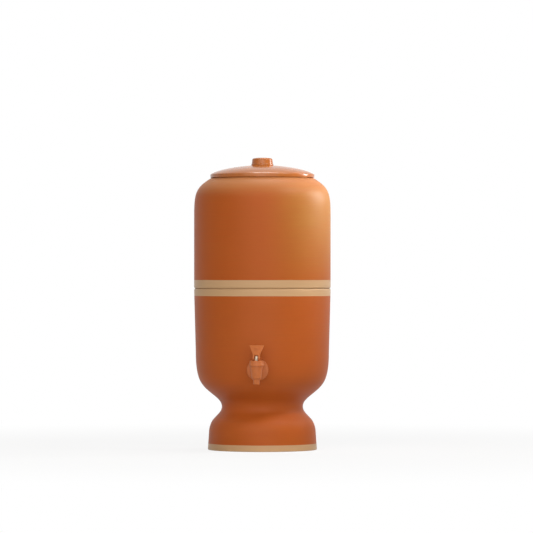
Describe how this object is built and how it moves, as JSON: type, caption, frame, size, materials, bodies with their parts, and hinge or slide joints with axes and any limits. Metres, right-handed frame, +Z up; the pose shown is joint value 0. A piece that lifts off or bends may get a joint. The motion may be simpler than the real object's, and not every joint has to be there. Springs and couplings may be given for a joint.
{
  "type": "gravity water filter with tap",
  "caption": "Clay gravity water filter: a vessel with ceramic candle and float valve stands on a footed reservoir with a sprung lever tap, under a knobbed lift-off lid.",
  "frame": {"origin": "centre of the foot, on the surface that the filter stands on", "axes": "+Z up along the vessels' common axis, the tap on the -Y side, +X to the right of someone facing the tap"},
  "size_m": [0.224, 0.261, 0.4791],
  "materials": {
    "clay": "fired red clay, burnished and sealed to a low satin, with beige slip bands at the seam and the foot",
    "lid_plastic": "moulded polypropylene, polished, clay-coloured",
    "tap_plastic": "moulded polypropylene, semi-gloss, clay-coloured",
    "white_plastic": "moulded white polypropylene, semi-matte",
    "candle_ceramic": "unglazed porous white ceramic, matte",
    "carbon": "pressed black carbon, matte",
    "felt": "pressed white felt",
    "rubber": "matte black moulded rubber",
    "silicone": "translucent off-white silicone, matte",
    "steel": "stainless steel, drawn"
  },
  "bodies": {
    "base": {"lower_vessel": "clay", "tap_body": "tap_plastic", "tap_cap": "tap_plastic", "tap_stem_o_ring": "rubber", "tap_spring_washer": "steel", "tap_spring": "steel", "tap_outer_gasket": "silicone", "tap_inner_gasket": "silicone", "tap_back_nut": "tap_plastic"},
    "tap_plunger": {"tap_stem": "white_plastic", "tap_plug_seal": "silicone", "tap_lever_pin": "steel"},
    "lever": {"tap_lever": "tap_plastic"},
    "upper_unit": {"upper_vessel": "clay", "candle_shell": "candle_ceramic", "candle_base": "white_plastic", "candle_carbon": "carbon", "candle_felt": "felt", "candle_upper_washer": "rubber", "candle_lower_washer": "rubber", "candle_wing_nut": "white_plastic", "float_valve_body": "white_plastic", "float_pin": "steel"},
    "float_unit": {"float_arm": "white_plastic", "float_seal": "rubber", "float_cup": "white_plastic", "float_cap": "white_plastic"},
    "lid_unit": {"lid": "lid_plastic", "lid_knob": "lid_plastic", "lid_knob_screw": "steel"}
  },
  "joints": [
    {"name": "upper_lift", "type": "slide", "parent": "base", "child": "upper_unit", "axis": [0, 0, 1], "range_m": [0, 0.13]},
    {"name": "lid_lift", "type": "slide", "parent": "upper_unit", "child": "lid_unit", "axis": [0, 0, 1], "range_m": [0, 0.12]},
    {"name": "float_swing", "type": "hinge", "parent": "upper_unit", "child": "float_unit", "pos_m": [0, -0.012, 0.226], "axis": [1, 0, 0], "range_deg": [0, 20]},
    {"name": "plunger_lift", "type": "slide", "parent": "base", "child": "tap_plunger", "axis": [0, 0, 1], "range_m": [0, 0.0033], "stiffness_N_per_m": 30, "springref_m": -0.001, "deforming": ["tap_spring"]},
    {"name": "lever_tilt", "type": "hinge", "parent": "tap_plunger", "child": "lever", "pos_m": [0, -0.13705, 0.1529], "axis": [1, 0, 0], "range_deg": [0, 60]}
  ],
  "couplings": [
    {"joint": "lever_tilt", "follows": "plunger_lift", "rad_per_m": 317.3}
  ]
}
